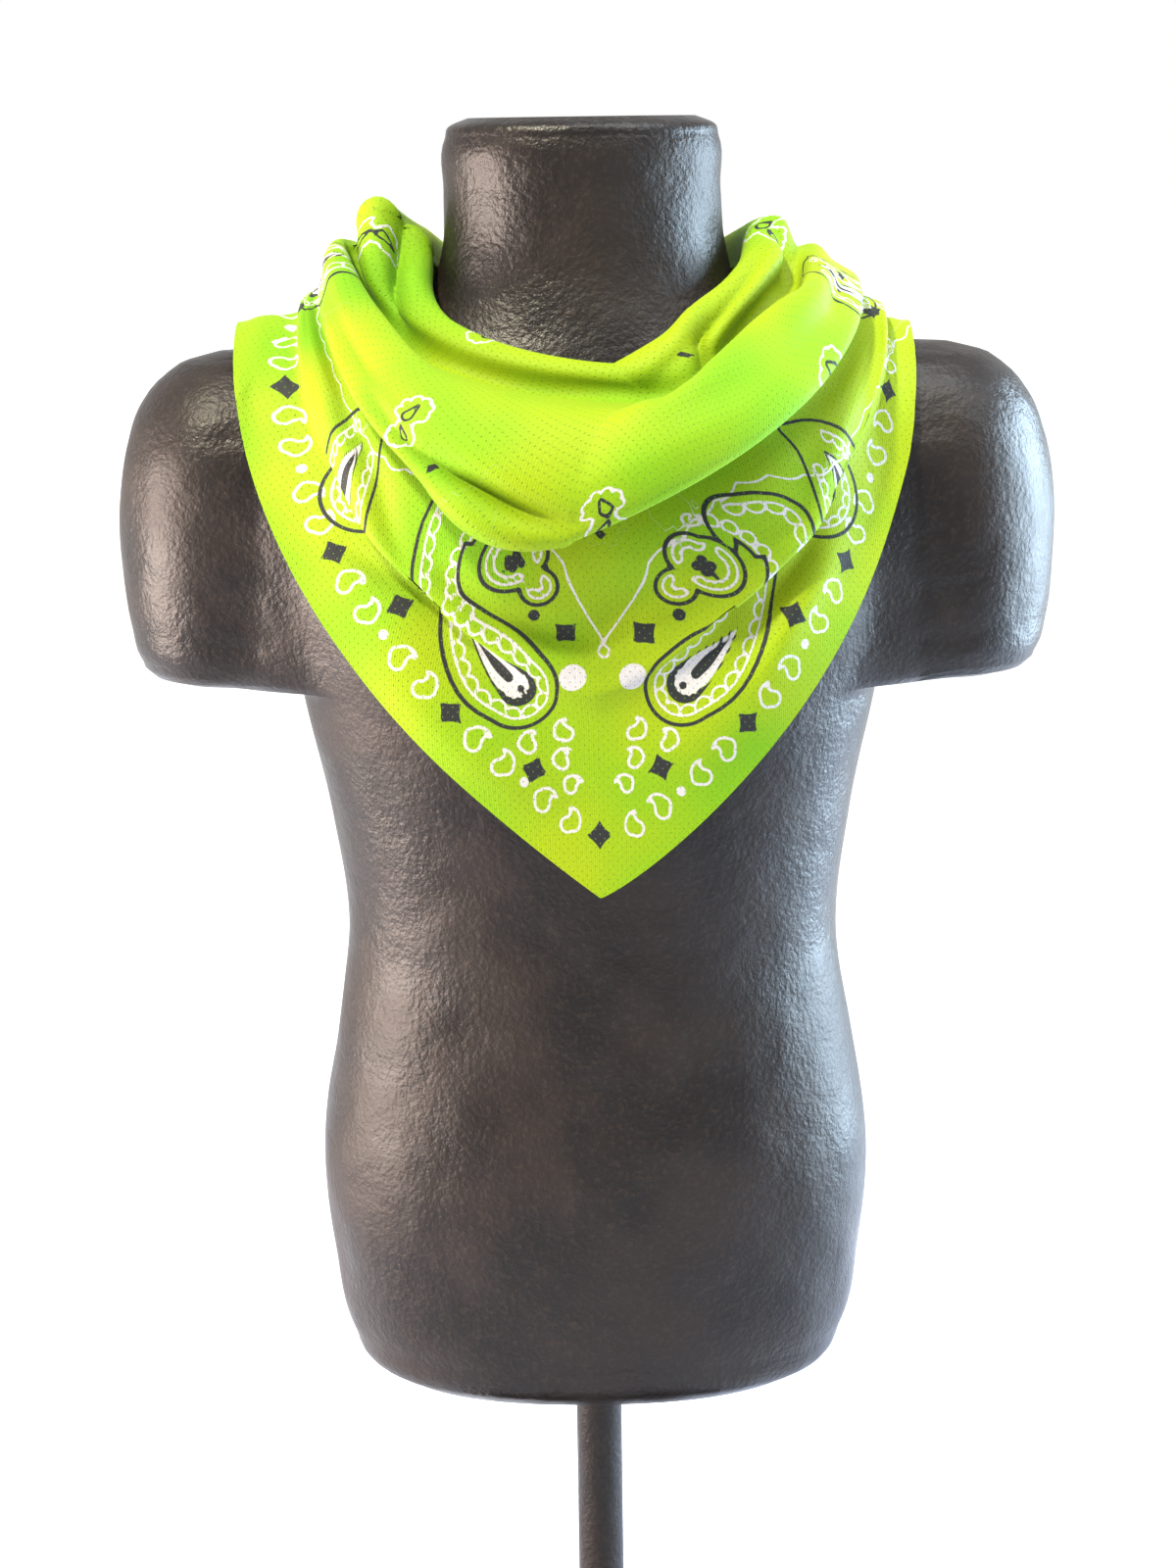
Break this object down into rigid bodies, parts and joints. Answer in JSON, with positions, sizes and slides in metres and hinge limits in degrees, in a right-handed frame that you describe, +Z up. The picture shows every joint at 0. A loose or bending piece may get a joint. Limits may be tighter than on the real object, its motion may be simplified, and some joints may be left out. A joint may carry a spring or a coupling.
{
  "type": "bandana on a torso form with a stand",
  "caption": "Square mesh-jersey bandana folded corner to corner, worn point down with cowl folds and knotted behind, on a limbless torso form with a stand.",
  "frame": {"origin": "on the floor under the middle of the round base", "axes": "+Z up, -Y the front of the torso with the bandana's point, +X to the right as seen from the front"},
  "size_m": [0.4852, 0.33, 0.936],
  "materials": {
    "lime_mesh_jersey": "matte polyester mesh jersey, lime green with a black and white print",
    "dark_bronze_paint": "satin dark bronze, finely textured"
  },
  "bodies": {
    "root": {"bandana_front": "lime_mesh_jersey", "bandana_left_wrap": "lime_mesh_jersey", "bandana_right_wrap": "lime_mesh_jersey", "knot": "lime_mesh_jersey", "left_tail": "lime_mesh_jersey", "right_tail": "lime_mesh_jersey", "torso_form": "dark_bronze_paint", "stand_base": "dark_bronze_paint", "stand_pole": "dark_bronze_paint"}
  },
  "joints": []
}
